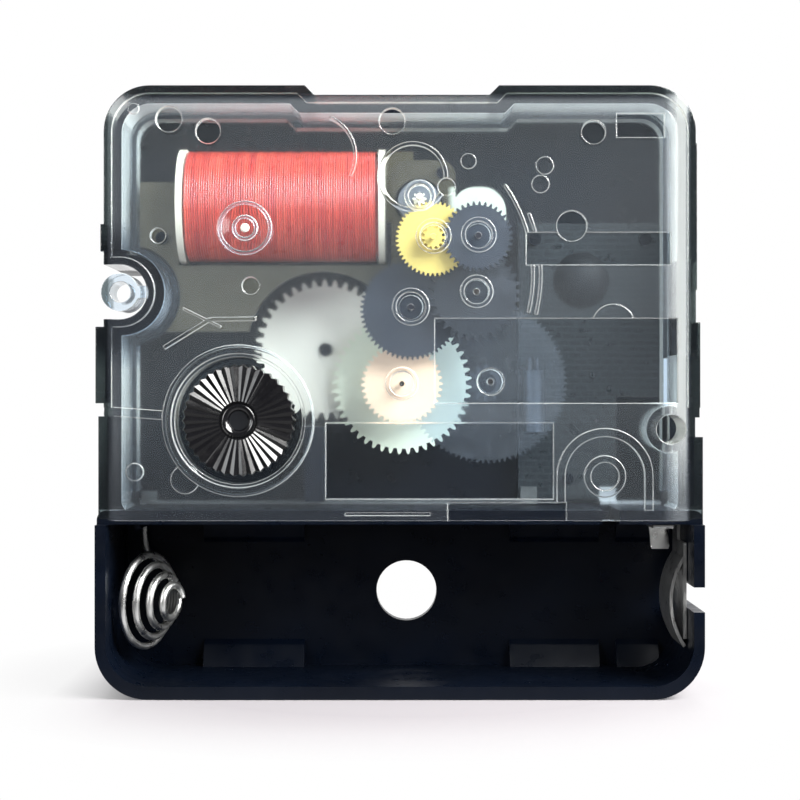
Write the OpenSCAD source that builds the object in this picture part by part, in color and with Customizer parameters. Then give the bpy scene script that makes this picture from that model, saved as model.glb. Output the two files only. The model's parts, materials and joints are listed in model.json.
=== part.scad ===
// Quartz clock movement with a translucent back cover
// Frame: origin on the centre shaft at the dial face, +X right and +Z up seen from the back,
// the hand shafts point to +Y and the battery side of the case faces -Y

/* [Case] */
// Overall width of the case
case_w = 56; // [55:0.5:60]
// Overall height of the case, battery edge to top edge
case_h = 56.3; // [55.5:0.1:60]
// Overall depth, dial face to the highest face of the cover
case_d = 16; // [15.8:0.1:18]
// Distance from the left edge of the battery bay to the centre shaft
shaft_from_left = 28.2; // [27.8:0.1:29]
// Distance from the top edge to the centre shaft
shaft_from_top = 27.3; // [27.2:0.1:28]
// Thickness of the case floor
floor_t = 1.5; // [1.2:0.1:1.5]
// Thickness of the case walls
wall = 1.3; // [1:0.1:1.5]
// Corner radius of the case at the top
top_corner_r = 4.2; // [3:0.1:5]
// Corner radius of the case at the battery edge
bay_corner_r = 4.8; // [3.5:0.1:5.5]
// Height of the case rim that the cover stands on
rim_h = 8; // [7.5:0.1:8.5]
// Distance from the bay side to the mechanism side, each side of the case
side_step = 0.9; // [0.5:0.1:1]
// Width of the shallow recess in the top edge
top_recess_w = 17.8; // [12:0.1:20]
// Depth of the shallow recess in the top edge
top_recess_depth = 0.87; // [0.4:0.01:0.9]

/* [Battery bay] */
// Free height of the bay, across the cell
bay_h = 14.8; // [14.7:0.1:15]
// Thickness of the end walls of the bay
bay_end_wall = 1; // [0.8:0.1:1.1]
// Diameter of the push-out hole in the bay floor
push_hole_d = 5.96; // [4:0.01:8]
// Width of the cradle ribs along the bay floor
cradle_w = 2.6; // [1.5:0.1:3]
// Height of the cradle ribs above the floor
cradle_h = 1.5; // [0.8:0.1:1.8]
// Diameter of the spring wire
spring_wire_d = 0.7; // [0.5:0.05:0.75]
// Outer diameter of the largest spring turn
spring_big_d = 10.4; // [9:0.1:11]
// Outer diameter of the smallest spring turn
spring_small_d = 2.9; // [2.5:0.1:3.5]
// Number of spring turns
spring_turns = 4; // [3:1:4]
// Length of the spring along the cell
spring_length = 5; // [4:0.1:6]
// Thickness of the contact metal
contact_t = 0.3; // [0.2:0.05:0.4]
// Length of the curved positive leaf, across the bay
leaf_length = 8.6; // [6:0.1:10]
// How far the positive leaf bows towards the cell
leaf_bow = 1.3; // [0.8:0.1:1.6]
// Width of the positive leaf, along the depth of the case
leaf_w = 7; // [5:0.1:8]
// Width of the tab of the positive contact
tab_w = 1.9; // [1.5:0.1:2.2]
// Width of the contact strips in the mechanism room
strip_w = 1.6; // [1.2:0.1:1.8]

/* [Cover] */
// Thickness of the cover plate
cover_t = 1.2; // [0.9:0.1:1.4]
// Height of the raised rings and ridges on the cover
relief = 0.4; // [0.2:0.05:0.5]
// Depth of the sunk panels on the cover
panel_depth = 0.2; // [0.1:0.05:0.3]
// Thickness of the lip that locates the cover in the case
lip_t = 0.7; // [0.5:0.1:0.8]
// Length of the lip below the case rim
lip_h = 1.2; // [0.8:0.1:1.5]
// Outer diameter of the mounting lug
lug_d = 3.5; // [3:0.1:4]
// Bore of the mounting lug
lug_bore = 1.9; // [1.5:0.1:2.2]
// Length of the mounting lug and its bore
lug_length = 4.3; // [3:0.1:6]
// Diameter of the round blind well at the right edge of the cover
side_well_d = 2.7; // [2:0.1:3]
// Radius of the well round the setting knob
well_r = 5.85; // [5.6:0.05:6]
// Thickness of the latch tongue of the case inside the right edge of the cover
latch_t = 0.75; // [0.6:0.05:0.8]

/* [Centre shafts] */
// Thread diameter of the centre bushing
bushing_d = 7.8; // [7:0.1:8.5]
// Length of the bushing in front of the dial face
bushing_length = 6; // [4:0.1:8]
// Depth of the recess round the bushing in the dial face
bushing_recess = 0.3; // [0.2:0.1:0.5]
// Diameter of the hour hand seat
hour_d = 5.1; // [5:0.1:5.4]
// Reach of the hour tube in front of the dial face
hour_reach = 9.5; // [8.5:0.1:10.5]
// Diameter of the minute hand seat
minute_d = 3.4; // [3.2:0.1:3.6]
// Reach of the minute shaft in front of the dial face
minute_reach = 12.5; // [11.5:0.1:13.5]
// Diameter of the seconds hand seat
second_d = 1; // [0.9:0.05:1.2]
// How much thicker each shaft is behind its hand seat
seat_step = 0.4; // [0.34:0.02:0.44]
// Reach of the seconds shaft in front of the dial face
second_reach = 15; // [14.5:0.1:16]
// Radial running clearance of the shafts and pivots
run_gap = 0.05; // [0.03:0.01:0.06]

/* [Wheel train] */
// Tooth module of the rotor pinion and the first wheel
rotor_module = 0.14; // [0.135:0.001:0.142]
// Tooth module of the first pinion and the second wheel
first_module = 0.173; // [0.171:0.001:0.175]
// Tooth module of the second pinion and the fourth wheel
second_module = 0.26; // [0.257:0.001:0.262]
// Tooth module of the fourth pinion and the fifth wheel
fourth_module = 0.155; // [0.153:0.001:0.156]
// Tooth module of the fifth pinion and the seconds wheel
fifth_module = 0.187; // [0.186:0.001:0.189]
// Tooth module of the seconds pinion and the third wheel
third_module = 0.17; // [0.169:0.001:0.171]
// Tooth module of the minute pinion, the motion wheel and the setting gear
motion_module = 0.328; // [0.325:0.001:0.33]
// Thickness of the train wheels
wheel_t = 0.6; // [0.4:0.05:0.65]
// Diameter of the train pivots
pivot_d = 0.5; // [0.4:0.05:0.5]

/* [Setting knob] */
// Diameter of the setting knob
knob_d = 10.4; // [9:0.1:10.6]
// Height of the setting knob
knob_h = 3.2; // [2.6:0.1:3.4]
// Number of radial ribs on the knob
knob_ribs = 38; // [30:1:44]
// Diameter of the plain hub inside the ribs
knob_hub_d = 3.6; // [3:0.1:4.2]

/* [Motor] */
// Outer diameter of the coil winding
coil_d = 10.6; // [9.5:0.1:10.7]
// Length of the coil winding
coil_length = 18.3; // [16:0.1:18.4]
// Diameter of the bobbin barrel
barrel_d = 5.2; // [4.6:0.1:6]
// Thickness of the bobbin flanges
flange_t = 0.6; // [0.5:0.05:0.7]
// Number of turns shown in the outer layer of the winding
outer_turns = 20; // [12:1:20]
// Diameter of the wire in the outer layer
outer_wire_d = 0.45; // [0.3:0.05:0.45]
// Thickness of the stator plate
stator_t = 0.7; // [0.5:0.05:0.7]
// Width of the coil core
core_w = 3; // [2.5:0.1:3.2]
// Thickness of the coil core
core_t = 1.2; // [0.8:0.1:1.4]
// Diameter of the rotor magnet
magnet_d = 4; // [3.4:0.1:4.2]
// Height of the rotor magnet
magnet_h = 2.4; // [1.6:0.1:2.5]
// Air gap between rotor magnet and stator
air_gap = 0.3; // [0.2:0.05:0.3]

/* [Electronics] */
// Width of the circuit board
board_w = 14; // [12:0.1:14.2]
// Height of the circuit board
board_h = 17; // [14:0.1:18]
// Thickness of the circuit board
board_t = 1; // [0.8:0.1:1.2]
// Diameter of the crystal can
crystal_d = 2; // [1.8:0.1:2.2]
// Length of the crystal can
crystal_length = 6; // [5:0.1:6.4]
// Diameter of the chip blob on the board
chip_d = 5.5; // [4:0.1:6]
// Height of the chip blob
chip_h = 1.2; // [0.8:0.1:1.4]

/* [Hidden] */
$fn = 64;
eps = 0.01;
fit_gap = 0.1;

// Edges of the case in the bench frame, seen from the back
case_left = -shaft_from_left;
case_right = case_w - shaft_from_left;
case_top = shaft_from_top;
case_bottom = shaft_from_top - case_h;
body_left = case_left + side_step;
body_right = case_right - side_step;

// The bay and the wall between the bay and the mechanism
bay_bottom = case_bottom + wall - 0.1;
bay_top = bay_bottom + bay_h;
bay_mid = (bay_bottom + bay_top) / 2;
bay_left = case_left + bay_end_wall;
bay_right = case_right - bay_end_wall;
cover_face = case_d - relief;
cover_under = cover_face - cover_t;
cover_bottom = bay_top + 0.4;
lip_inset = wall + fit_gap;
room_bottom = bay_top + wall;

// Tooth counts
rotor_teeth = 8;
first_teeth = 48;
first_leaves = 12;
second_teeth = 36;
second_leaves = 8;
fourth_teeth = 32;
fourth_leaves = 20;
fifth_teeth = 60;
fifth_leaves = 36;
seconds_teeth = 40;
seconds_leaves = 6;
third_teeth = 90;
third_leaves = 12;
centre_teeth = 48;
minute_leaves = 10;
motion_teeth = 40;
motion_leaves = 12;
hour_teeth = 36;
setting_teeth = 22;

// Tooth form: height over and under the pitch circle in modules, then shares of the pitch
// that the tooth fills at its root, at the pitch circle and at its tip
WHEEL_FORM = [0.9, 1.15, 0.6, 0.42, 0.16];
PINION_FORM = [0.7, 1.15, 0.52, 0.4, 0.2];

// Directions from one arbor to the next, seen from the back
fifth_dir = 83.4;
fourth_dir = 13.1;
second_dir = 87.9;
first_dir = 181.65;
rotor_dir = 108.9;
third_dir = 1.3;
motion_dir = 155.4;
setting_fall = 42;
well_margin = 2.4;

function pitch_r(teeth, mod) = teeth * mod / 2;
function reach(a, b, mod) = (a + b) * mod / 2;
function polar(dist, dir) = dist * [cos(dir), sin(dir)];

// Places of the arbors, each from the one that it meshes with
centre_at = [0, 0];
fifth_at = polar(reach(fifth_leaves, seconds_teeth, fifth_module), fifth_dir);
fourth_at = fifth_at + polar(reach(fourth_leaves, fifth_teeth, fourth_module), fourth_dir);
second_at = fourth_at + polar(reach(second_leaves, fourth_teeth, second_module), second_dir);
first_at = second_at + polar(reach(first_leaves, second_teeth, first_module), first_dir);
rotor_at = first_at + polar(reach(rotor_teeth, first_teeth, rotor_module), rotor_dir);
third_dist = reach(seconds_leaves, third_teeth, third_module);
third_at = polar(third_dist, third_dir);
centre_module = 2 * third_dist / (third_leaves + centre_teeth);
motion_dist = reach(minute_leaves, motion_teeth, motion_module);
motion_at = polar(motion_dist, motion_dir);
hour_module = 2 * motion_dist / (motion_leaves + hour_teeth);
setting_dist = reach(setting_teeth, motion_teeth, motion_module);
setting_room = motion_at[1] - (room_bottom + well_r + well_margin);
setting_dir = 180 + min(setting_fall, asin(min(1, setting_room / setting_dist)));
setting_at = motion_at + polar(setting_dist, setting_dir);

// Turn of a wheel that puts its gap on the tooth of the wheel before it
function mesh_turn(turn, teeth, next_teeth, dir) =
    dir + 180 - 180 / next_teeth + (dir - turn) * teeth / next_teeth;
first_turn = mesh_turn(0, rotor_teeth, first_teeth, rotor_dir + 180);
second_turn = mesh_turn(0, first_leaves, second_teeth, first_dir + 180);
fourth_turn = mesh_turn(0, second_leaves, fourth_teeth, second_dir + 180);
fifth_turn = mesh_turn(0, fourth_leaves, fifth_teeth, fourth_dir + 180);
seconds_turn = mesh_turn(0, fifth_leaves, seconds_teeth, fifth_dir + 180);
third_turn = mesh_turn(0, seconds_leaves, third_teeth, third_dir);
centre_turn = mesh_turn(0, third_leaves, centre_teeth, third_dir + 180);
motion_turn = mesh_turn(0, minute_leaves, motion_teeth, motion_dir);
hour_turn = mesh_turn(0, motion_leaves, hour_teeth, motion_dir + 180);
setting_turn = mesh_turn(motion_turn, motion_teeth, setting_teeth, setting_dir);

// Levels above the dial face
flange_top = floor_t + 0.5;
hour_level = flange_top + fit_gap;
motion_level = hour_level + 1;
motion_t = 0.9;
motion_post_r = 0.6;
clutch_level = motion_level + motion_t + 0.2;
clutch_t = 0.5;
clutch_r = 1;
collar_r = 1.5;
centre_level = clutch_level + clutch_t;
third_level = centre_level + 1.5;
seconds_level = third_level + 1.3;
stator_level = seconds_level + wheel_t + 0.2;
fifth_level = stator_level + stator_t + 0.2;
fourth_level = fifth_level + 1.5;
first_level = fourth_level + 1.2;
second_level = first_level + 1;
pinion_over = 0.15;
pivot_top = cover_under + 0.8;
pivot_foot = floor_t - 0.8;
pivot_hole_r = pivot_d / 2 + run_gap;

// Motor places
core_level = stator_level - core_t;
coil_axis_w = core_level + core_t / 2;
coil_axis_v = 16.95;
coil_right = -2.2;
coil_left = coil_right - coil_length;
flange_r = coil_d / 2 + 0.15;
magnet_level = stator_level - 0.9;
rotor_hole_r = magnet_d / 2 + air_gap;
stator_left = body_left + lip_inset + lip_t + 0.3;
leg_right = coil_left - flange_t - 0.1;
stator_right = 5.1;
stator_top = 21.3;
stator_low = 5;
stator_leg_top = 19.2;
stator_end = [4.7, 9.9, 12.5, 18.8];
stator_pins = [[stator_left + 2.1, stator_low + 8.9], [stator_right - 1.2, stator_top - 1.2]];
stator_pin_r = 0.6;
core_end_t = 0.65;
core_shoe_w = 2.5;
core_shoe_top = 5.25;
core_shoe_reach = 2.6;

// Electronics places: the board and its foot by the bay wall, where the contact strips end
board_right = body_right - wall - 0.2;
board_left = board_right - board_w;
board_bottom = -1.2;
board_top = board_bottom + board_h;
board_foot_w = 9.6;
board_foot_v = room_bottom + contact_t + 0.2;
board_pins = [
    [board_left + 1.6, board_top - 1.6], [board_right - 1.6, board_top - 1.6],
    [board_left + board_foot_w / 2, board_foot_v + 2]
];
board_pin_r = 0.6;
board_level = floor_t + 1.25;
contact_level = board_level + board_t;
chip_at = [board_left + board_w * 0.44, board_bottom + board_h * 0.67];
chip_ball_r = (chip_d * chip_d / 4 + chip_h * chip_h) / (2 * chip_h);
crystal_at = [board_left + crystal_d / 2 + 0.4, board_bottom - 3.4];
lead_r = 0.15;

// Middle of the cell above the dial face, and the tail of the spring in the bay wall
bay_depth_mid = (floor_t + cover_under) / 2 + 0.3;
tail_u = bay_left + 1.8;
tail_w = bay_depth_mid - spring_big_d / 2 + spring_wire_d / 2;
tail_top_w = tail_w + spring_wire_d / 2;
tab_u = case_right - 3.6;
tab_foot_u = board_left + board_foot_w - strip_w - 0.1;
slot_gap = 0.15;
push_at = [0.46, bay_mid];

// Mounting lug and notch places
lug_at = [-25.85, 8.4];
lug_room_r = 2.5;
side_well_at = [body_right - 2.2, -4.2];
side_well_depth = 6;
side_well_wall = 0.8;

// Windows in the floor and wall of the case beside the latch: left, right, low and high edge
edge_windows = [
    [body_right - wall - eps, body_right - 0.4, -2.1, 2.6], [body_right - 0.65, body_right - 0.15, -11.3, -6.2]
];

// Latch tongue at the right edge: low and high end
latch_ends = [2.8, 11.3];

// Rib of the case beside the knob: its left edge, its high end and its width
knob_rib = [-9.1, -4, 1.8];

// Pads on the sides of the case: low edge, high edge and how far each stands out
left_pads = [[12.1, 14.6, 0.3], [-1.8, 5.2, 0.75], [-12.4, -3, 0.55]];
right_pads = [[-3.1, 5.6, 0.4], [-12.4, -4.9, 0.7], [8.6, 22, 0.1]];

module bench() rotate([90, 0, 0]) children();

module at(p, w = 0) translate([p[0], p[1], w]) children();

module tube(outer_r, inner_r, h) {
    difference() {
        cylinder(r = outer_r, h = h);
        translate([0, 0, -eps]) cylinder(r = inner_r, h = h + 2 * eps);
    }
}

// Rectangle with rounded corners from its four edges, its top radius and its foot radius
module soft_rect(x0, x1, y0, y1, top_r, foot_r) {
    union() {
        translate([x0, y0 + foot_r]) square([x1 - x0, y1 - y0 - foot_r - top_r]);
        translate([x0 + top_r, y0 + foot_r]) square([x1 - x0 - 2 * top_r, y1 - y0 - foot_r]);
        translate([x0 + foot_r, y0]) square([x1 - x0 - 2 * foot_r, y1 - y0 - top_r]);
        for (x = [x0 + top_r, x1 - top_r]) translate([x, y1 - top_r]) circle(r = top_r);
        for (x = [x0 + foot_r, x1 - foot_r]) translate([x, y0 + foot_r]) circle(r = foot_r);
    }
}

// Outline of the mechanism room, drawn in by inset for its inside
module room_2d(inset = 0) {
    low = inset == 0 ? cover_bottom : room_bottom;
    mid = (top_recess_w / 2) + inset;
    depth = top_recess_depth;
    difference() {
        soft_rect(body_left + inset, body_right - inset, low, case_top - inset, top_corner_r - inset, 0.8);
        translate([0, case_top - inset])
            polygon([[-mid, 1], [-mid, 0], [depth - mid, -depth], [mid - depth, -depth], [mid, 0], [mid, 1]]);
        translate(lug_at) circle(r = lug_room_r + inset);
        translate([body_left - 1, lug_at[1] - lug_room_r - inset])
            square([lug_at[0] - body_left + 1, 2 * (lug_room_r + inset)]);
    }
}

module pads_2d() {
    for (p = left_pads) translate([body_left - p[2], p[0]]) square([p[2] + wall, p[1] - p[0]]);
    for (p = right_pads) translate([body_right - wall, p[0]]) square([p[2] + wall, p[1] - p[0]]);
}

module bay_2d() {
    soft_rect(case_left, case_right, case_bottom, room_bottom, 0.9, bay_corner_r);
}

function tooth_points(teeth, mod, form, turn) = [
    for (i = [0:teeth - 1])
        for (p = [[-form[1], -form[2]], [0, -form[3]], [form[0], -form[4]],
                  [form[0], form[4]], [0, form[3]], [-form[1], form[2]]])
            let (a = turn + (i + p[1] / 2) * 360 / teeth)
            (teeth * mod / 2 + p[0] * mod) * [cos(a), sin(a)]
];

module gear(teeth, mod, form, turn, h) {
    linear_extrude(h) polygon(tooth_points(teeth, mod, form, turn));
}

module post(p, r, top) {
    at(p, floor_t - eps) cylinder(r = r, h = top - floor_t + eps);
}

// Posts of the case that carry the short arbors, each with its top level
bearing_posts = [
    [rotor_at, 1.3, magnet_level - 0.3], [first_at, 0.9, first_level - 0.6],
    [second_at, 0.9, fourth_level - 0.5], [third_at, 0.9, floor_t + 0.6], [fourth_at, 1.2, floor_t + 1.6]
];
fifth_foot_r = 0.22;

module front_case() color("#26282b") bench() {
    difference() {
        union() {
            linear_extrude(floor_t) union() {
                room_2d();
                pads_2d();
                bay_2d();
            }
            linear_extrude(rim_h) difference() {
                union() {
                    room_2d();
                    pads_2d();
                }
                room_2d(wall);
                translate([case_left, case_bottom]) square([case_w, room_bottom - case_bottom + 0.1]);
            }
            linear_extrude(cover_face) difference() {
                bay_2d();
                soft_rect(bay_left, bay_right, bay_bottom, bay_top, 0.2, bay_corner_r - bay_end_wall);
            }
            for (p = bearing_posts) post(p[0], p[1], p[2]);
            post(fifth_at, 0.55, floor_t + 0.4);
            post(setting_at, 1.6, motion_level - 0.2);
            post(motion_at, motion_post_r, motion_level + motion_t + 0.4);
            for (p = stator_pins) {
                post(p, 1.2, stator_level);
                post(p, stator_pin_r, stator_level + stator_t + 0.4);
            }
            for (p = board_pins) {
                post(p, 1.4, board_level);
                post(p, board_pin_r, board_level + board_t + 0.5);
            }
            bay_cradle();
            bay_rib();
            latch(0, cover_under - 0.2);
            rib_low = room_bottom + contact_t + 0.4;
            translate([knob_rib[0], rib_low, 0]) cube([knob_rib[2], knob_rib[1] - rib_low, cover_under - 2.5]);
        }
        translate([case_left - 1, bay_top, cover_under]) cube([case_w + 2, 2 * wall, case_d]);
        translate([0, 0, -eps]) cylinder(r = bushing_neck_r, h = floor_t + 2 * eps);
        translate([0, 0, -eps]) cylinder(r = bushing_d / 2 + 0.2, h = bushing_recess + eps);
        at(push_at, -eps) cylinder(d = push_hole_d, h = floor_t + 2 * eps);
        translate([bay_right, bay_mid - end_notch_low, -eps]) cube([2 * bay_end_wall, end_notch_w, case_d]);
        for (p = edge_windows) translate([p[0], p[2], -eps]) cube([p[1] - p[0], p[3] - p[2], case_d]);
        for (p = bearing_posts) at(p[0], p[2] - 0.9) cylinder(r = pivot_hole_r, h = case_d);
        at(fifth_at, floor_t - 0.5) cylinder(r = fifth_foot_r + run_gap, h = case_d);
        at(setting_at, -eps) cylinder(r = stem_r + run_gap, h = case_d);
        contact_slots();
    }
}

// Left and right ends of the cradle ribs
cradle_ends = [
    [bay_left + 7.6, push_at[0] - 10.1], [push_at[0] + 10.2, bay_right - 7.3], [bay_right - 5.6, bay_right - 1.4]
];
cradle_lip = 0.5;

// Sloped cradle ribs that hold the round cell, broken in the middle
module bay_cradle() {
    for (x = cradle_ends)
        for (side = [0, 1])
            translate([x[0], side == 0 ? bay_bottom - eps : bay_top + eps, floor_t - eps])
                mirror([0, side, 0]) rotate([90, 0, 90])
                    linear_extrude(x[1] - x[0])
                        polygon([[0, 0], [cradle_w, 0], [cradle_w - cradle_lip, cradle_lip], [0, cradle_h]]);
}

// Short rib on the upper wall of the bay beside the spring
bay_rib_w = 0.5;
module bay_rib() {
    translate([bay_left + 2.4, bay_top - bay_rib_w, 0]) cube([bay_rib_w, bay_rib_w + 0.1, cover_under - 1]);
}

// Notch through the right end wall of the bay, beside the positive leaf
end_notch_w = 2.3;
end_notch_low = 0.6;

// Tongue of the case inside the cover, or the room for it with a gap all round
module latch(gap, top) {
    inner = gap == 0 ? body_right - 0.4 - latch_t : body_right - lip_inset - 0.1;
    translate([inner, latch_ends[0] - gap, rim_h - 1])
        cube([body_right - 0.4 + gap - inner, latch_ends[1] - latch_ends[0] + 2 * gap, top - rim_h + 1]);
}

// Slots in the wall of the bay for the spring tail and the tab of the positive contact
module contact_slots() {
    tail_slot = spring_wire_d + 2 * slot_gap;
    translate([tail_u - tail_slot / 2, bay_top - 0.5, tail_w - tail_slot / 2]) cube([tail_slot, wall + 1, tail_slot]);
    translate([tab_u - tab_w / 2 - slot_gap, bay_top - 0.5, contact_level - slot_gap])
        cube([tab_w + 2 * slot_gap, wall + 1, contact_t + 2 * slot_gap]);
    translate([bay_right - 8.3, bay_top - 0.5, wall_slot_level]) cube([wall_slot_w, wall + 1, case_d]);
}

// Open slot in the wall between the bay and the mechanism
wall_slot_w = 1.6;
wall_slot_level = 6;

// Cover

// Cups round the upper pivots, with the radius of each
cover_cups = [
    [first_at, 1.6], [second_at, 1.6], [fourth_at, 1.5], [fifth_at, 1.7], [centre_at, 1.5],
    [third_at, 1.6], [rotor_at, 1.4]
];
// Plain round dimples: place and radius
cover_dimples = [
    [-21.4, 24.3, 1.2], [-17.8, 23.2, 1.15], [-0.9, 24.1, 1.2], [17.6, 23.1, 1.1], [-13.9, 9, 0.8],
    [-22.4, 13.6, 0.7], [15.6, 14.5, 1.4], [4.1, 18.1, 0.8]
];
// Plain round studs: place and radius
cover_studs = [
    [-24.6, 25.2, 0.5], [-24.5, -8.1, 0.8], [-9.6, -6, 0.9], [6.1, 20.4, 0.7], [13.1, 20, 0.8],
    [12.7, 18.3, 0.8], [-19.9, -8.8, 1.3], [body_right - 7.5, 5.3, 2]
];
// Sunk panels: left, right, low and high edge
cover_panels = [
    [11.4, body_right - 2.2, 10.9, 13.9], [19.7, body_right - 2.8, 22.6, 24.8],
    [3, body_right - 1.6, -1.8, 6], [-7, 13.9, -10.6, -3.6],
    [4.2, 15.1, cover_bottom - 1, cover_bottom + 1.7], [-5.2, 2.6, cover_bottom + 0.5, cover_bottom + 0.75]
];
arch_at = [body_right - 8.3, cover_bottom + 4.1];
cone_at = [-14.5, 14.2];
ring_at = [1, 19];
// Fine raised arcs: middle, radius, first and last direction
cover_arcs = [
    [[-2.3, 10], 14.2, -14, 35], [[-2.3, 10], 14.9, -14, 22], [[-8.1, 20.9], 3.7, -28, 66]
];
arc_w = 0.25;
// Straight ridges: one end, the other end and the width
cover_ridges = [
    [[-21.8, 3.3], [-17.6, 5.9], 0.35], [[-17.6, 5.9], [-13.4, 5.95], 0.35], [[-20.1, 6.9], [-16.6, 5.2], 0.2],
    [[body_left, -2.5], [-21.9, -2.9], 0.8]
];

module back_cover() color("#9aa396", 0.5) bench() {
    difference() {
        union() {
            cover_shell();
            cover_relief();
            for (c = cover_cups) at(c[0], cover_under - 0.5) cylinder(r = 1.1, h = 1);
            at(lug_at, cover_face - lug_length) cylinder(d = lug_d, h = lug_length);
            at(setting_at, cover_face - 3.4) cylinder(r = well_r + 0.9, h = 3.4);
            at(side_well_at, cover_face - side_well_depth - side_well_wall)
                cylinder(r = side_well_d / 2 + side_well_wall, h = side_well_depth + side_well_wall);
        }
        for (c = cover_cups) {
            at(c[0], cover_face - 0.5) cylinder(r = c[1] - 0.35, h = 2);
            at(c[0], cover_under - 1) cylinder(r = pivot_hole_r, h = 3);
        }
        for (d = cover_dimples) translate([d[0], d[1], cover_face - 0.7]) cylinder(r = d[2], h = 1);
        for (p = cover_panels)
            translate([p[0], p[2], cover_face - panel_depth]) cube([p[1] - p[0], p[3] - p[2], 1]);
        at(lug_at, 0) cylinder(d = lug_bore, h = case_d + 1);
        at(side_well_at, cover_face - side_well_depth) cylinder(d = side_well_d, h = side_well_depth + 1);
        latch(fit_gap, cover_under);
        at(setting_at, cover_face - 3) cylinder(r = well_r, h = 4);
        at(setting_at, 0) cylinder(r = stem_r + run_gap, h = case_d);
    }
}

module cover_shell() {
    translate([0, 0, cover_under]) linear_extrude(cover_t) union() {
        room_2d();
        pads_2d();
        translate(lug_at) circle(d = lug_d);
        translate([lug_at[0], lug_at[1] - 0.6]) square([lug_room_r + 0.4, 1.2]);
    }
    translate([0, 0, rim_h]) linear_extrude(cover_face - rim_h - eps) difference() {
        union() {
            room_2d();
            pads_2d();
        }
        room_2d(lip_inset + 0.05);
        translate([case_left, case_bottom]) square([case_w, room_bottom - case_bottom + fit_gap]);
    }
    translate([0, 0, rim_h - lip_h]) linear_extrude(lip_h + 1) difference() {
        room_2d(lip_inset);
        room_2d(lip_inset + lip_t);
        translate([case_left, case_bottom]) square([case_w, room_bottom - case_bottom + 1.5]);
    }
}

module cover_relief() {
    top = cover_face - eps;
    for (c = cover_cups) at(c[0], top) tube(c[1], c[1] - 0.35, relief);
    for (s = cover_studs) translate([s[0], s[1], top]) cylinder(r = s[2], h = relief / 2);
    at(setting_at, top) tube(well_r + 1.1, well_r + 0.3, relief);
    at(cone_at, top) cylinder(r1 = 2.6, r2 = 1.3, h = relief);
    at(ring_at, top) tube(3.2, 2.85, relief / 2);
    for (a = cover_arcs)
        at(a[0], top) rotate(a[2]) rotate_extrude(angle = a[3] - a[2])
            translate([a[1], 0]) square([arc_w, relief / 2]);
    for (r = cover_ridges) at(r[0], top) straight_ridge(r[1] - r[0], r[2]);
    arch_ridge(top);
    edge_ridge(top);
}

module straight_ridge(along, w) {
    rotate(atan2(along[1], along[0])) translate([0, -w / 2, 0]) cube([norm(along), w, relief / 2]);
}

// Arched ridge at the lower right, open towards the bay
module arch_ridge(top) {
    outer_r = 4.4;
    inner_r = 3.65;
    at(arch_at, top) difference() {
        tube(outer_r, inner_r, relief);
        translate([-outer_r - 1, -outer_r - 1, -1]) cube([2 * outer_r + 2, outer_r + 1, relief + 2]);
    }
    for (side = [-1, 1])
        translate([arch_at[0] + side * (outer_r + inner_r) / 2 - 0.375, cover_bottom + 1, top])
            cube([0.75, arch_at[1] - cover_bottom - 1, relief]);
    at(arch_at, top) tube(1.9, 1.3, relief);
}

// Raised rim that frames the top and the sides of the cover
module edge_ridge(top) {
    translate([0, 0, top]) linear_extrude(relief) difference() {
        union() {
            room_2d(0);
            pads_2d();
        }
        room_2d(0.7);
        translate([case_left, case_bottom]) square([case_w, -case_bottom - 2.2]);
    }
}

// Centre shafts

hour_body_r = hour_d / 2 + seat_step / 2;
minute_body_r = minute_d / 2 + seat_step / 2;
second_body_r = second_d / 2 + seat_step / 2;
bushing_neck_r = bushing_d / 2 - 0.3;

module centre_bushing() color("#b8963e") bench() {
    difference() {
        union() {
            translate([0, 0, -bushing_length]) cylinder(d = bushing_d, h = bushing_length);
            translate([0, 0, -eps]) cylinder(r = bushing_neck_r, h = floor_t + 2 * eps);
            translate([0, 0, floor_t]) cylinder(d = bushing_d + 1.4, h = flange_top - floor_t);
        }
        translate([0, 0, -bushing_length - 1]) cylinder(r = hour_body_r + run_gap, h = bushing_length + 5);
    }
}

// Shaft with a thinner hand seat at its end: reach, seat start, body radius and foot of the body
module stepped_shaft(reach_w, seat_w, seat_r, body_r, foot) {
    translate([0, 0, -reach_w]) cylinder(r = seat_r, h = reach_w);
    translate([0, 0, -seat_w]) cylinder(r = body_r, h = seat_w + foot);
}

module hour_wheel() color("#d8d8cc") bench() {
    difference() {
        union() {
            stepped_shaft(hour_reach, bushing_length + 0.2, hour_d / 2, hour_body_r, hour_level);
            translate([0, 0, hour_level]) gear(hour_teeth, hour_module, WHEEL_FORM, hour_turn, 0.7);
        }
        translate([0, 0, -hour_reach - 1]) cylinder(r = minute_body_r + run_gap, h = hour_reach + 6);
    }
}

minute_top = centre_level + wheel_t + 0.45;

module minute_shaft() color("#c2a552") bench() {
    difference() {
        union() {
            stepped_shaft(minute_reach, hour_reach + 0.2, minute_d / 2, minute_body_r, motion_level - fit_gap);
            translate([0, 0, motion_level - fit_gap])
                gear(minute_leaves, motion_module, PINION_FORM, 0, clutch_level - motion_level + fit_gap);
            translate([0, 0, motion_level]) cylinder(r = clutch_r, h = minute_top - motion_level);
        }
        translate([0, 0, -minute_reach - 1]) cylinder(r = second_body_r + run_gap, h = minute_reach + 10);
    }
}

module clutch_spring() color("#c9a24a") bench() translate([0, 0, clutch_level]) {
    difference() {
        cylinder(r1 = 2.4, r2 = 1.7, h = clutch_t);
        translate([0, 0, -eps]) cylinder(r = clutch_r + run_gap, h = 1);
    }
}

module clutch_collar() color("#c9a24a") bench() translate([0, 0, centre_level + wheel_t]) {
    tube(collar_r, clutch_r, 0.4);
}

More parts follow.
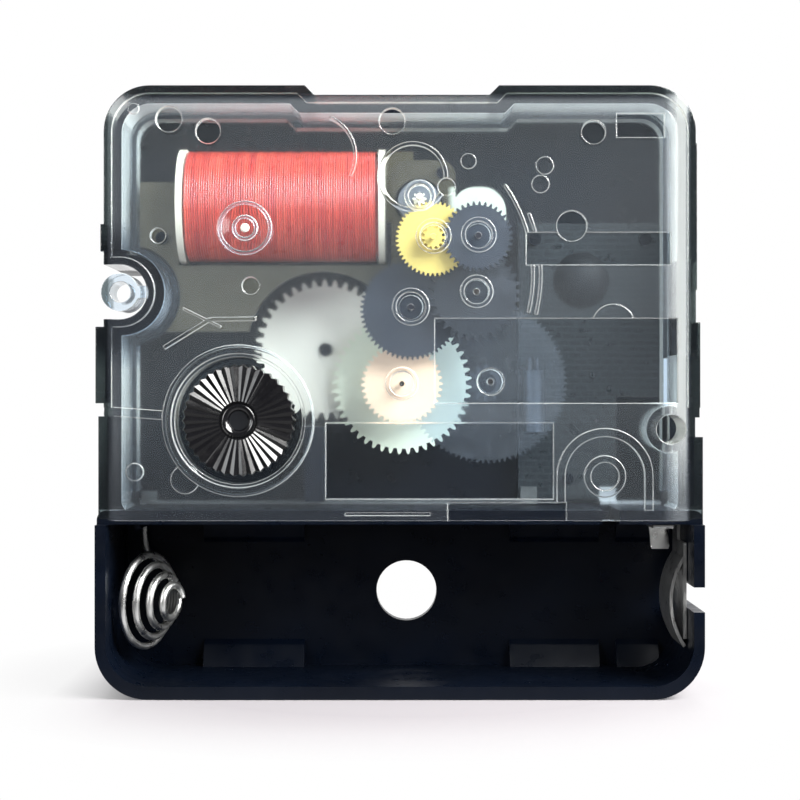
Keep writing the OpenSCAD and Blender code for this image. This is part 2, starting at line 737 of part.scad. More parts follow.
module centre_wheel() color("#c4d4b8") bench() translate([0, 0, centre_level]) {
    difference() {
        gear(centre_teeth, centre_module, WHEEL_FORM, centre_turn, wheel_t);
        translate([0, 0, -eps]) cylinder(r = clutch_r + run_gap, h = 1);
    }
}

module seconds_shaft() color("#c9ccd0") bench() {
    stepped_shaft(second_reach, minute_reach + 0.2, second_d / 2, second_body_r, minute_top);
    translate([0, 0, third_level - pinion_over])
        gear(seconds_leaves, third_module, PINION_FORM, 0, wheel_t + 2 * pinion_over);
    cylinder(d = pivot_d, h = pivot_top);
}

module seconds_wheel() color("#d99a86") bench() translate([0, 0, seconds_level]) {
    difference() {
        union() {
            gear(seconds_teeth, fifth_module, WHEEL_FORM, seconds_turn, wheel_t);
            cylinder(r = 1.1, h = wheel_t + 0.4);
        }
        translate([0, 0, -eps]) cylinder(d = pivot_d, h = 2);
    }
}

// Train wheels, each a wheel with a smaller pinion over or under it

module train_wheel(p, teeth, mod, turn, level, leaves, pinion_mod, pinion_level, hub_r) {
    at(p) {
        translate([0, 0, level]) gear(teeth, mod, WHEEL_FORM, turn, wheel_t);
        translate([0, 0, pinion_level - pinion_over])
            gear(leaves, pinion_mod, PINION_FORM, 0, wheel_t + 2 * pinion_over);
        low = min(level, pinion_level);
        high = max(level, pinion_level);
        translate([0, 0, low]) cylinder(r = hub_r, h = high - low);
    }
}

module rotor_magnet() color("#4a4d52") bench() at(rotor_at, magnet_level) tube(magnet_d / 2, 0.5, magnet_h);

module rotor_pinion() color("#e8e6da") bench() at(rotor_at) {
    foot = magnet_level - 0.2;
    translate([0, 0, foot]) cylinder(r = 0.5, h = magnet_h + 0.5);
    translate([0, 0, foot]) cylinder(r = 0.36, h = first_level - foot);
    translate([0, 0, first_level - pinion_over])
        gear(rotor_teeth, rotor_module, PINION_FORM, 0, wheel_t + 2 * pinion_over);
    translate([0, 0, foot - 0.7]) cylinder(d = pivot_d, h = pivot_top - foot + 0.7);
}

module first_wheel() color("#e6c728") bench() {
    train_wheel(first_at, first_teeth, rotor_module, first_turn, first_level,
                first_leaves, first_module, second_level, 0.6);
    at(first_at, first_level - 1.2) cylinder(d = pivot_d, h = pivot_top - first_level + 1.2);
}

module second_wheel() color("#55605f") bench() {
    train_wheel(second_at, second_teeth, first_module, second_turn, second_level,
                second_leaves, second_module, fourth_level, 0.5);
    at(second_at, fourth_level - 1.1) cylinder(d = pivot_d, h = pivot_top - fourth_level + 1.1);
}

module fourth_wheel() color("#3d4347") bench() difference() {
    train_wheel(fourth_at, fourth_teeth, second_module, fourth_turn, fourth_level,
                fourth_leaves, fourth_module, fifth_level, 1);
    at(fourth_at, 0) cylinder(d = pivot_d, h = case_d);
}

module fourth_arbor() color("#c9ccd0") bench() at(fourth_at, floor_t + 0.9) {
    cylinder(d = pivot_d, h = pivot_top - floor_t - 0.9);
}

module fifth_wheel() color("#6b7072") bench() {
    train_wheel(fifth_at, fifth_teeth, fourth_module, fifth_turn, fifth_level,
                fifth_leaves, fifth_module, seconds_level, 1);
    at(fifth_at, floor_t - 0.3) cylinder(r = fifth_foot_r, h = seconds_level - floor_t + 0.3);
    at(fifth_at, seconds_level) cylinder(d = pivot_d, h = pivot_top - seconds_level);
}

module third_wheel() color("#1f2225") bench() {
    train_wheel(third_at, third_teeth, third_module, third_turn, third_level,
                third_leaves, centre_module, centre_level, 1);
    at(third_at, floor_t - 0.2) cylinder(d = pivot_d, h = pivot_top - floor_t + 0.2);
}

module motion_wheel() color("#eceae0") bench() at(motion_at) {
    difference() {
        union() {
            translate([0, 0, motion_level]) gear(motion_teeth, motion_module, WHEEL_FORM, motion_turn, motion_t);
            translate([0, 0, hour_level - fit_gap])
                gear(motion_leaves, hour_module, PINION_FORM, 0, motion_level - hour_level + fit_gap);
        }
        cylinder(r = motion_post_r + run_gap, h = case_d);
    }
}

// Setting knob and its stem

stem_r = 0.9;
knob_foot = cover_face - 2.9;
knob_top = knob_foot + knob_h;
stem_top = knob_top - 0.6;

// One ring of the ribbed crown: a saw edge with its ridges and its valleys
function saw_ring(ridge_r, valley_r, ridge_w, valley_w) = [
    for (i = [0:2 * knob_ribs - 1])
        let (ridge = i % 2 == 0)
        let (a = (i + (ridge ? 0 : -0.45)) * 180 / knob_ribs)
        [(ridge ? ridge_r : valley_r) * cos(a), (ridge ? ridge_r : valley_r) * sin(a), ridge ? ridge_w : valley_w]
];

module ribbed_crown() {
    outer = knob_d / 2;
    inner = knob_hub_d / 2 - 0.05;
    n = 2 * knob_ribs;
    rings = [
        saw_ring(inner, inner, 0, 0), saw_ring(outer, outer - 0.3, 0, 0),
        saw_ring(outer, outer - 0.3, knob_h, knob_h - 0.9), saw_ring(inner, inner, knob_h, knob_h - 0.35)
    ];
    points = [for (ring = rings) each ring];
    faces = [
        for (k = [0:3]) for (i = [0:n - 1])
            let (a = k * n + i, b = k * n + (i + 1) % n)
            let (c = ((k + 1) % 4) * n + (i + 1) % n, d = ((k + 1) % 4) * n + i)
            each [[a, c, b], [a, d, c]]
    ];
    polyhedron(points, faces);
}

module setting_knob() color("#101113") bench() at(setting_at, knob_foot) {
    ribbed_crown();
    difference() {
        union() {
            cylinder(d = knob_hub_d, h = knob_h - 0.5);
            cylinder(r = 1.3, h = knob_h - 0.15);
        }
        translate([0, 0, -eps]) cylinder(r = stem_r, h = stem_top - knob_foot + eps);
        translate([0, 0, stem_top - knob_foot - eps]) cylinder(r = 0.75, h = knob_h);
    }
}

module setting_stem() color("#1b1d20") bench() at(setting_at) {
    translate([0, 0, 0.4]) cylinder(r = stem_r, h = stem_top - 0.4);
    translate([0, 0, motion_level]) gear(setting_teeth, motion_module, WHEEL_FORM, setting_turn, motion_t);
    translate([0, 0, motion_level + motion_t]) cylinder(r = 1.6, h = 0.5);
}

// Motor

module coil_axis(u) translate([u, coil_axis_v, coil_axis_w]) rotate([0, 90, 0]) children();

module coil_bobbin() color("#e6dfc6") bench() difference() {
    union() {
        coil_axis(coil_left - flange_t) cylinder(d = barrel_d, h = coil_length + 2 * flange_t);
        for (u = [coil_left - flange_t, coil_right]) coil_axis(u) cylinder(r = flange_r, h = flange_t);
    }
    translate([coil_left - 2, coil_axis_v - core_w / 2, core_level]) cube([coil_length + 4, core_w, core_t]);
}

winding_core_r = coil_d / 2 - outer_wire_d - 0.08;

module coil_winding() color("#c8432f") bench() coil_axis(coil_left) {
    tube(winding_core_r, barrel_d / 2, coil_length);
}

// Tube of six sides swept along a list of points, closed at both ends
function unit(v) = v / norm(v);
function sweep_frame(path, i) =
    let (t = unit(path[min(i + 1, len(path) - 1)] - path[max(i - 1, 0)]))
    let (side = unit(cross(t, abs(t[0]) > 0.9 ? [0, 1, 0] : [1, 0, 0])))
    [side, cross(t, side)];
module sweep_tube(path, r, sides = 6) {
    n = len(path);
    points = [
        for (i = [0:n - 1]) let (f = sweep_frame(path, i))
            for (k = [0:sides - 1]) path[i] + r * (cos(k * 360 / sides) * f[0] + sin(k * 360 / sides) * f[1])
    ];
    walls = [
        for (i = [0:n - 2]) for (k = [0:sides - 1])
            let (a = i * sides + k, b = i * sides + (k + 1) % sides)
            each [[a, a + sides, b + sides], [a, b + sides, b]]
    ];
    foot = [for (k = [1:sides - 2]) [0, k, k + 1]];
    head = [for (k = [1:sides - 2]) [(n - 1) * sides, (n - 1) * sides + k + 1, (n - 1) * sides + k]];
    polyhedron(points, concat(walls, foot, head));
}

// Least distance between the centre lines of turns that lie at least half a turn apart
function least_gap(path, apart, d) = min([
    for (i = [0:len(path) - 1]) for (j = [i + apart:1:len(path) - 1]) norm(path[i] - path[j]) - d
]);

turn_steps = 24;
turn_pitch = (coil_length - 2 * outer_wire_d) / outer_turns;
outer_path = [
    for (i = [0:outer_turns * turn_steps])
        let (a = i * 360 / turn_steps)
        [coil_left + outer_wire_d + i * turn_pitch / turn_steps,
         coil_axis_v + (coil_d - outer_wire_d) / 2 * cos(a),
         coil_axis_w + (coil_d - outer_wire_d) / 2 * sin(a)]
];
module coil_outer_turns() color("#e0523a") bench() sweep_tube(outer_path, outer_wire_d / 2);

module coil_core() color("#a9a9a2") bench() translate([0, 0, core_level]) linear_extrude(core_t) {
    end_left = coil_right + flange_t + fit_gap;
    translate([stator_left, coil_axis_v - core_w / 2]) square([end_left + core_end_t - stator_left, core_w]);
    translate([end_left, coil_axis_v - core_w / 2]) square([core_end_t, core_w / 2 + core_shoe_top]);
    translate([end_left, coil_axis_v + core_shoe_top - core_shoe_w]) square([core_shoe_reach, core_shoe_w]);
}

module stator_plate() color("#b9b3a2") bench() translate([0, 0, stator_level]) linear_extrude(stator_t) {
    band_top = coil_axis_v - flange_r - 0.2;
    difference() {
        union() {
            translate([stator_left, stator_low]) square([leg_right - stator_left, stator_leg_top - stator_low]);
            translate([stator_left, stator_low]) square([-stator_left - 1, band_top - stator_low]);
            soft_rect(-1, stator_right, band_top - 0.6, stator_top, 1.5, 0.2);
            soft_rect(stator_end[0], stator_end[1], stator_end[2], stator_end[3], 2.4, 0.3);
        }
        translate(motion_at) circle(r = pitch_r(motion_teeth, motion_module) + 0.75);
        translate(rotor_at) circle(r = rotor_hole_r);
        translate(first_at) circle(r = 1.2);
        translate(second_at) circle(r = 1.2);
        translate(stator_pins[0]) circle(r = stator_pin_r);
        translate(stator_pins[1]) circle(r = stator_pin_r);
        translate(lug_at) circle(r = lug_room_r + lip_inset + lip_t + 0.2);
    }
}

// Electronics

module circuit_board() color("#171b1d") bench() translate([0, 0, board_level]) difference() {
    union() {
        translate([board_left, board_bottom, 0]) cube([board_w, board_h, board_t]);
        translate([board_left, board_foot_v, 0]) cube([board_foot_w, board_bottom - board_foot_v + 1, board_t]);
    }
    for (p = board_pins) at(p, -eps) cylinder(r = board_pin_r, h = 2 * board_t);
}

module chip_blob() color("#0c0c0d") bench() difference() {
    at(chip_at, contact_level + chip_h - chip_ball_r) sphere(r = chip_ball_r);
    at(chip_at, contact_level - 2 * chip_ball_r) cylinder(r = 2 * chip_ball_r, h = 2 * chip_ball_r);
}

// Crystal can on its side, with two leads that bend down to the board
module crystal_can() color("#c4c6c8") bench() at(crystal_at, contact_level + crystal_d / 2) rotate(90) {
    rotate([0, 90, 0]) cylinder(d = crystal_d, h = crystal_length);
    for (side = [-0.35, 0.35]) translate([crystal_length - eps, side, 0]) {
        rotate([0, 90, 0]) cylinder(r = lead_r, h = 1.2);
        translate([1.05, 0, -crystal_d / 2]) cylinder(r = lead_r, h = crystal_d / 2);
    }
}

// Battery contacts

spring_base_u = bay_left + spring_wire_d / 2 + 0.05;
spring_steps = 8;
tail_top = room_bottom + 0.9;

// Conical spring: a straight tail at the largest turn, then turns that draw in to a small flat one
spring_path = concat(
    [for (v = [tail_top, room_bottom, bay_top, bay_top - 1]) [tail_u, v, tail_w]],
    [[(tail_u + spring_base_u) / 2, bay_mid + 4, tail_w], [spring_base_u, bay_mid + 1.8, tail_w]],
    [
        for (i = [0:spring_turns * spring_steps])
            let (t = i / (spring_turns * spring_steps))
            let (r = (spring_big_d * (1 - t) + spring_small_d * t - spring_wire_d) / 2)
            let (a = -90 - i * 360 / spring_steps)
            [spring_base_u + spring_length * t, bay_mid + r * cos(a), bay_depth_mid + r * sin(a)]
    ]
);
module negative_spring() color("#c7c9cb") bench() sweep_tube(spring_path, spring_wire_d / 2);

// Strip on edge along the bay wall, with a foot on the spring tail and one on the board
strip_v = room_bottom + 0.1;
module negative_strip() color("#b9bbbd") bench() {
    start = tail_u + 0.6;
    low = min(contact_level, tail_top_w);
    high = max(contact_level, tail_top_w) + strip_w;
    board_end = board_left + 0.2 + strip_w;
    translate([start, strip_v, low]) cube([board_end - start, contact_t, high - low]);
    translate([tail_u - 0.1, strip_v, tail_top_w]) cube([strip_w, strip_w - 0.4, contact_t]);
    translate([board_end - strip_w, strip_v, contact_level]) cube([strip_w, strip_w, contact_t]);
}

leaf_r = (leaf_length * leaf_length / 4 + leaf_bow * leaf_bow) / (2 * leaf_bow);
leaf_half = asin(leaf_length / 2 / leaf_r);
leaf_level = bay_depth_mid - leaf_w / 2;

// Curved leaf at the positive end, with an arm along the end wall and a tab through the bay wall
module positive_contact() color("#c7c9cb") bench() {
    face = bay_right - 0.1;
    translate([face - leaf_bow + leaf_r - contact_t, bay_mid, leaf_level]) rotate([0, 0, 180 - leaf_half])
        rotate_extrude(angle = 2 * leaf_half) translate([leaf_r - contact_t, 0]) square([contact_t, leaf_w]);
    translate([face - contact_t, bay_mid - leaf_length / 2 + 0.8, leaf_level])
        cube([contact_t, leaf_length + 0.4, leaf_w]);
    arm_v = bay_top - 0.1 - contact_t;
    translate([face - contact_t, bay_mid, leaf_level]) cube([contact_t, bay_top - bay_mid - 0.1, 3]);
    translate([tab_u - tab_w / 2, arm_v, leaf_level]) cube([face - tab_u + tab_w / 2, contact_t, 3]);
    tab_left = tab_u - tab_w / 2;
    translate([tab_left, arm_v, contact_level]) cube([tab_w, contact_t, cover_under - contact_level - 0.4]);
    translate([tab_left, arm_v, contact_level]) cube([tab_w, strip_v + contact_t - arm_v, contact_t]);
    translate([tab_foot_u, strip_v, contact_level]) cube([tab_left + tab_w - tab_foot_u, contact_t, strip_w]);
    translate([tab_foot_u, strip_v, contact_level]) cube([strip_w, strip_w, contact_t]);
}

echo(least_gap_in_spring = least_gap(spring_path, spring_steps / 2 + 3, spring_wire_d));
echo(least_gap_in_outer_turns = turn_pitch - outer_wire_d);

front_case();
back_cover();
centre_bushing();
coil_bobbin();
coil_winding();
coil_outer_turns();
coil_core();
stator_plate();
rotor_magnet();
rotor_pinion();
first_wheel();
second_wheel();
fourth_wheel();
fourth_arbor();
fifth_wheel();
seconds_wheel();
seconds_shaft();
third_wheel();
centre_wheel();
clutch_spring();
clutch_collar();
minute_shaft();
motion_wheel();
hour_wheel();
setting_knob();
setting_stem();
circuit_board();
chip_blob();
crystal_can();
negative_spring();
negative_strip();
positive_contact();
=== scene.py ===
import json
import math

import bpy
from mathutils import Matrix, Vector


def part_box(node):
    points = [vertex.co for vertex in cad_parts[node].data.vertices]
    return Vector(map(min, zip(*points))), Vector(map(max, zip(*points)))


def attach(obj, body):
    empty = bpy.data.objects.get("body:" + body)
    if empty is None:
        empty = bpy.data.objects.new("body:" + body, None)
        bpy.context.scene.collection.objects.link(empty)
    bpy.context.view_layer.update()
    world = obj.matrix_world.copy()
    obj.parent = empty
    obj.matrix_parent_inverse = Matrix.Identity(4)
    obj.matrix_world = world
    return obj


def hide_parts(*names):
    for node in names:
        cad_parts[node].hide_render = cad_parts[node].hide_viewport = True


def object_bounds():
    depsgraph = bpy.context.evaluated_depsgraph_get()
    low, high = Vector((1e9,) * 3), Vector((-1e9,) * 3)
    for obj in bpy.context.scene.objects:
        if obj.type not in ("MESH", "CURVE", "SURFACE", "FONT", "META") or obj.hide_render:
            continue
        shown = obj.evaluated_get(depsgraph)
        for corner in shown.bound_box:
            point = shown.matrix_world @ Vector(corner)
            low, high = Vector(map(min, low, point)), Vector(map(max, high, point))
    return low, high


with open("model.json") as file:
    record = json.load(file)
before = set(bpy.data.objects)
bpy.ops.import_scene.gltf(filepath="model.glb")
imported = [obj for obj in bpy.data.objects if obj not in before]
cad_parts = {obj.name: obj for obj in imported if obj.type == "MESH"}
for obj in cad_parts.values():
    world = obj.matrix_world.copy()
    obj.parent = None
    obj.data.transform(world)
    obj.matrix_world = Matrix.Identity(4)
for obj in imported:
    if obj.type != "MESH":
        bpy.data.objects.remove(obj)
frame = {"nodes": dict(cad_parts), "record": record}
cad_low, cad_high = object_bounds()

MM = 0.001
NODES = frame["nodes"]
scene = bpy.context.scene
scene.view_settings.view_transform = "Standard"

# Camera: squarely at the back of the movement, as the photograph is taken
EYE = Vector((-0.18, -186, -1.5)) * MM
LENS_MM = 83.6
SENSOR_MM = 36

# Stage, in metres
FLOOR_COLOUR = (0.32, 0.303, 0.32, 1)
FLOOR_GAP = 0.05 * MM
FLOOR_HALF = 1.6
BACKDROP_AT = 0.5
BACKDROP_BEND = 0.3
BACKDROP_TOP = 1.2
BEND_STEPS = 12

# Where the floor shows the shadow, in metres: from the middle, and to the sides, where less stays
SHADOW_REACH = (0.038, 0.054)
SHADOW_SIDES = (0.025, 0.033)
SHADOW_BESIDE = 0.2

# Room: light on matt surfaces, light in gloss on the viewer's side, and where that side ends, as a
# direction of the world and as a place on the floor
AMBIENT = 0.13
ROOM = 0.10
ROOM_SIDE = (-0.35, 0.1)
ROOM_FLOOR = (-0.036, -0.017)

# Lamps, aimed at the middle of the movement: place and size in metres, watts, colour
LAMPS = {
    "key_right": ((0.31, -0.158, 0.10), (0.12, 0.12), 0.8, (1.0, 0.99, 0.98)),
    "key_top": ((0.24, -0.158, 0.215), (0.32, 0.20), 4.8, (1.0, 1.0, 0.98)),
    "side_left": ((-0.34, -0.12, 0.02), (0.12, 0.2), 0.35, (0.95, 0.98, 1.0)),
    "front_fill": ((-0.32, -0.35, 0.10), (0.2, 0.2), 1.0, (1, 1, 1)),
    "dial_side": ((0.02, 0.22, 0.42), (0.3, 0.2), 2.2, (1, 1, 1)),
}

# How much light the cover scatters: eroded face, walls, rim on top of the walls, band on the face
# along the rim, rounded edges, and all of it. Rim and band are a painted glow, the edges painted
# highlights.
VEIL_FACE = 0.014
VEIL_SIDE = 0.3
RIM_PAINTED_GLOW = 0.35
BAND_PAINTED_GLOW = 0.27
EDGE_PAINTED_HIGHLIGHT = 0.26
VEIL_ALL = 0.004

# Shares of the painted glow of rim and band at the top and on the left, where the right has all,
# then of the low edge and of the painted shade at the outline
RIM_TOP_SHARE = 0.5
RIM_LEFT_SHARE = 0.2
BAND_TOP_SHARE = 0.22
BAND_LEFT_SHARE = 0.14
LOW_EDGE_SHARE = 0.75
OUTLINE_SHADE_SHARE = 0.85

# Places on the cover, in millimetres, from and to: depth of face and edges, then across and up.
# The lug has the middle of its height, and how far it reaches from there.
FACE_DEPTH = (-15.55, -15.40)
EDGE_DEPTH = (-14.9, -14.6)
OUTLINE_RIGHT = (26.0, 26.2)
OUTLINE_LEFT = (-26.6, -26.4)
OUTLINE_TOP = (25.9, 26.1)
OUTLINE_SHADE_RIGHT = (26.3, 26.5)
OUTLINE_SHADE_LEFT = (-27.0, -26.8)
OUTLINE_SHADE_TOP = (26.3, 26.6)
RIM_RIGHT = (24.4, 24.8)
RIM_LEFT = (-25.2, -24.9)
RIM_TOP = (24.0, 24.3)
BAND_RIGHT = (23.9, 25.3)
BAND_RIGHT_END = (26.0, 26.3)
BAND_LEFT = (-26.3, -24.8)
BAND_LEFT_END = (-26.7, -26.4)
BAND_TOP = (23.9, 25.2)
BAND_TOP_END = (25.9, 26.3)
LUG_RIGHT = (-21.5, -21.0)
LUG_MID = 8.3
LUG_HALF = (4.6, 7.0)
LOW_EDGE = (-10.0, -4.0)

# Edges and walls of the cover: radius of the edges in millimetres, then from and to, the cosine of
# their bend, which marks the painted highlights, and how squarely a wall faces the viewer
EDGE_RADIUS = 0.17
EDGE_BEND = (0.86, 0.985)
WALL_SLOPE = (0.25, 0.7)

# Cover: colour of scattered light and painted glow and how soon it shows, colour of the painted
# shade at the outline, and how much rougher the eroded face is
MILK_AND_GLOW = (0.95, 0.98, 0.92, 1)
MILK_AND_GLOW_GAIN = 2.5
OUTLINE_PAINTED_SHADE = (0.05, 0.08, 0.08, 1)
FACE_ROUGHNESS = 0.09

# Pale end of the stator sheet, in millimetres: right of, and below
PALE_END_LEFT = (4.3, 4.9)
PALE_END_TOP = (18.6, 18.9)

# Battery spring, in millimetres: wire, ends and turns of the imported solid, wound closer, leaning
# and with its tail on the wall
SPRING_WIRE_R = 0.35
SPRING_BIG_D = 10.4
SPRING_SMALL_D = 2.9
SPRING_TURNS = 4
SPRING_LENGTH = 3.6
SPRING_LEAN = math.radians(25)
SPRING_MID_V = -20.4
SPRING_TAIL_IN = 1.4
SPRING_TAIL_UP = (8.7, 7.4, 6.4)
# Where the tail bends into the first turn: (right, above the middle, off the wall)
SPRING_BEND = (0.4, 4.0, 0.1)
SPRING_BEND_END = (0, 1.8, 0.4)
SPRING_STEPS = 12

# Winding of the coil, in millimetres
COIL_D = 10.6
COIL_WIRE_D = 0.22
COIL_SUNK = 0.02
COIL_STEPS = 36
# Uneven winding: (swing, rate), and the shares of it outward and along the coil
COIL_DRIFT = [(0.025, 2.1), (0.015, 5.3)]
COIL_DRIFT_OUT = 0.6
COIL_DRIFT_ALONG = 0.3

# Thread of the centre bushing, in millimetres
THREAD_PITCH = 0.75
THREAD_DEPTH = 0.34
THREAD_CREST = 1.25
THREAD_LEAD_IN = 0.4
THREAD_ROWS = 10
BUSHING_R = 3.9
BUSHING_NECK_R = 3.6
BUSHING_BORE_R = 2.8
BUSHING_FLANGE_R = 4.6
BUSHING_FLANGE_T = 0.5
BUSHING_SIDES = 72

# Bent end of the contact strip, in millimetres: its line (v, w), its sides and its sheet
FLAP_LINE = [(-12.9, 8.6), (-13.4, 8.7), (-13.9, 9.0), (-14.6, 9.5), (-15.3, 9.95), (-15.6, 10.1)]
FLAP_LEFT = 23.55
FLAP_RIGHT = 25.35
FLAP_THICK = 0.22
FLAP_NARROWER = 0.12
FLAP_EDGE = 0.05

# Moulding gate on the face of the cover, in millimetres: ridges (inner radius, outer radius, rise),
# their shoulder (in, down) and crest, and the section of the dot (radius, rise), a white dome that
# stands for a painted glint
COVER_FACE = 15.6
GATE_U = -14.4
GATE_V = 14.28
GATE_SUNK = 0.02
GATE_RIDGES = [(2.1, 2.52, 0.3), (0.82, 1.2, 0.22)]
GATE_SHOULDER = (0.03, 0.1)
GATE_CREST_IN = 0.12
GATE_DOT = [(0.01, -GATE_SUNK), (0.42, -GATE_SUNK), (0.4, 0.14), (0.3, 0.25), (0.15, 0.3),
            (0.01, 0.31)]
GATE_SIDES = 48

# Setting knob, in millimetres: its ribs, and the section of its dished hub (radius, depth)
KNOB_RIBS = 38
KNOB_SLOPE = 0.6
KNOB_HUB_R = 1.78
KNOB_HOLE_R = 0.75
KNOB_DISH = [(KNOB_HUB_R - 0.04, 0.42), (1.62, 0.42), (1.52, 0.3), (1.4, 0.22), (1.28, 0.24),
             (1.05, 0.42), (0.86, 0.6), (KNOB_HOLE_R, 0.8), (KNOB_HOLE_R, 2.0)]

# Node materials: roughness of all noise, and the sockets of the Mix node for colours
NOISE_ROUGHNESS = 0.55
MIX_FIRST, MIX_SECOND, MIX_RESULT = 6, 7, 2


def set_camera():
    camera = bpy.data.objects.new("camera", bpy.data.cameras.new("camera"))
    camera.location = EYE
    camera.rotation_euler = (math.pi / 2, 0, 0)
    camera.data.lens = LENS_MM
    camera.data.sensor_width = SENSOR_MM
    camera.data.clip_start = 0.005
    camera.data.clip_end = 20
    scene.collection.objects.link(camera)
    scene.camera = camera


# Materials


class Look:
    """The nodes of a material, or of the world, built up by short calls."""

    def __init__(self, owner, output):
        owner.use_nodes = True
        self.owner = owner
        self.tree = owner.node_tree
        self.tree.nodes.clear()
        self.surface = self.tree.nodes.new(output).inputs["Surface"]
        self.places = self.tree.nodes.new("ShaderNodeTexCoord").outputs

    def node(self, kind, output, inputs, **settings):
        """What comes out of a new node; an input takes a value, or what comes out of another."""
        node = self.tree.nodes.new(kind)
        for key, value in settings.items():
            setattr(node, key, value)
        for key, value in inputs.items():
            if isinstance(value, bpy.types.NodeSocket):
                self.tree.links.new(value, node.inputs[key])
            else:
                node.inputs[key].default_value = value
        return node.outputs[output]

    def rays(self):
        return self.tree.nodes.new("ShaderNodeLightPath").outputs

    def noise(self, per_mm, detail=3, stretch=(1, 1, 1)):
        """Noise with so many cells a millimetre; stretch draws it out along an axis."""
        place = self.node("ShaderNodeMapping", "Vector",
                          {"Vector": self.places["Object"], "Scale": stretch})
        return self.node("ShaderNodeTexNoise", "Fac",
                         {"Vector": place, "Scale": per_mm / MM, "Detail": detail,
                          "Roughness": NOISE_ROUGHNESS})

    def spread(self, source, low, high, from_low=0.3, from_high=0.7):
        """The source value drawn out from low to high."""
        return self.node("ShaderNodeMapRange", "Result",
                         {"Value": source, "From Min": from_low, "From Max": from_high,
                          "To Min": low, "To Max": high})

    def rise(self, source, span, most=1.0):
        """From nothing to the most along a span in millimetres."""
        return self.spread(source, 0.0, most, span[0] * MM, span[1] * MM)

    def fall(self, source, span, most=1.0):
        """From the most to nothing along a span in millimetres."""
        return self.spread(source, most, 0.0, span[0] * MM, span[1] * MM)

    def ramp(self, source, low, high):
        """Colours between two stops, each a place along the source value and its colour."""
        result = self.node("ShaderNodeValToRGB", "Color", {"Fac": source})
        for element, (place, colour) in zip(result.node.color_ramp.elements, (low, high)):
            element.position = place
            element.color = (*colour, 1)
        return result

    def axis(self, vector, name):
        return self.node("ShaderNodeSeparateXYZ", name, {"Vector": vector})

    def math(self, operation, *values):
        return self.node("ShaderNodeMath", "Value", dict(enumerate(values)), operation=operation)

    def most(self, first, *others):
        for other in others:
            first = self.math("MAXIMUM", first, other)
        return first

    def times(self, first, *others):
        for other in others:
            first = self.math("MULTIPLY", first, other)
        return first

    def rest(self, share):
        """What the share leaves of one."""
        return self.math("SUBTRACT", 1.0, share)

    def between(self, share, first, second):
        """The first number, turned into the second one by the share."""
        return self.node("ShaderNodeMix", "Result", {"Factor": share, "A": first, "B": second})

    def mix(self, share, first, second):
        """The first colour, turned into the second one by the share."""
        return self.node("ShaderNodeMix", MIX_RESULT,
                         {"Factor": share, MIX_FIRST: first, MIX_SECOND: second},
                         data_type="RGBA")

    def bump(self, source, height_mm, strength, **under):
        """A normal that follows the source value, raised over the Normal under it if given."""
        return self.node("ShaderNodeBump", "Normal",
                         {"Height": source, "Distance": height_mm * MM, "Strength": strength,
                          **under})

    def principled(self, **inputs):
        return self.node("ShaderNodeBsdfPrincipled", "BSDF",
                         {key.replace("_", " "): value for key, value in inputs.items()})

    def let_light_in(self, body, colour):
        """A clear body through which the lamps reach what is under it."""
        rays = self.rays()
        reached = self.most(rays["Is Shadow Ray"], rays["Is Diffuse Ray"])
        clear = self.node("ShaderNodeBsdfTransparent", "BSDF", {"Color": colour})
        return self.node("ShaderNodeMixShader", "Shader", {"Fac": reached, 1: body, 2: clear})

    def done(self, surface):
        self.tree.links.new(surface, self.surface)
        return self.owner


def new_look(name):
    return Look(bpy.data.materials.new(name), "ShaderNodeOutputMaterial")


def shade(colour, factor):
    return tuple(min(1.0, c * factor) for c in colour)


def moulded_plastic(name, colour, rough=0.4, spread=0.12, grain=3.0, grain_mm=0.006, **more):
    """Injection-moulded plastic: faint flow marks, uneven gloss and a fine eroded grain."""
    look = new_look(name)
    flow = look.noise(0.12, 4, stretch=(1, 1, 2.2))
    grime = look.noise(0.5, 6)
    base = look.ramp(flow, (0.25, shade(colour, 1 - spread)), (0.75, shade(colour, 1 + spread)))
    gloss = look.spread(grime, rough - 0.08, rough + 0.1)
    fine = look.bump(look.noise(grain, 2), grain_mm, 0.6)
    normal = look.bump(look.noise(0.35, 2), 0.02, 0.25, Normal=fine)
    return look.done(look.principled(Base_Color=base, Roughness=gloss, Normal=normal, **more))


def metal(name, colour, rough=0.25, brushed=(1, 1, 1), grain=4.0, **more):
    """Worked metal: tool marks drawn out along one axis, with stained and bright patches."""
    look = new_look(name)
    marks = look.noise(grain, 3, stretch=brushed)
    stain = look.noise(0.3, 5)
    base = look.ramp(stain, (0.3, shade(colour, 0.82)), (0.7, shade(colour, 1.06)))
    gloss = look.spread(marks, rough - 0.08, rough + 0.12)
    normal = look.bump(marks, 0.004, 0.5)
    return look.done(look.principled(Base_Color=base, Roughness=gloss, Normal=normal,
                                     Metallic=1.0, **more))


def painted_edge_highlights(look, across, depth, up, rounded):
    """Painted highlights on the rounded edges near the face of the cover, up to its outline."""
    flat = look.node("ShaderNodeNewGeometry", "Normal", {})
    bend = look.node("ShaderNodeVectorMath", "Value", {0: rounded, 1: flat},
                     operation="DOT_PRODUCT")
    outline = look.most(look.rise(across, OUTLINE_RIGHT), look.fall(across, OUTLINE_LEFT),
                        look.rise(up, OUTLINE_TOP))
    return look.times(look.spread(bend, 1.0, 0.0, *EDGE_BEND), look.fall(depth, EDGE_DEPTH),
                      look.rest(outline))


def painted_rim_glow(look, across, up):
    """Painted glow on the thick rim, as if it gathered light: all of it on the right, less at the
    top and on the left.
    """
    return look.most(look.rise(across, RIM_RIGHT), look.rise(up, RIM_TOP, RIM_TOP_SHARE),
                     look.fall(across, RIM_LEFT, RIM_LEFT_SHARE))


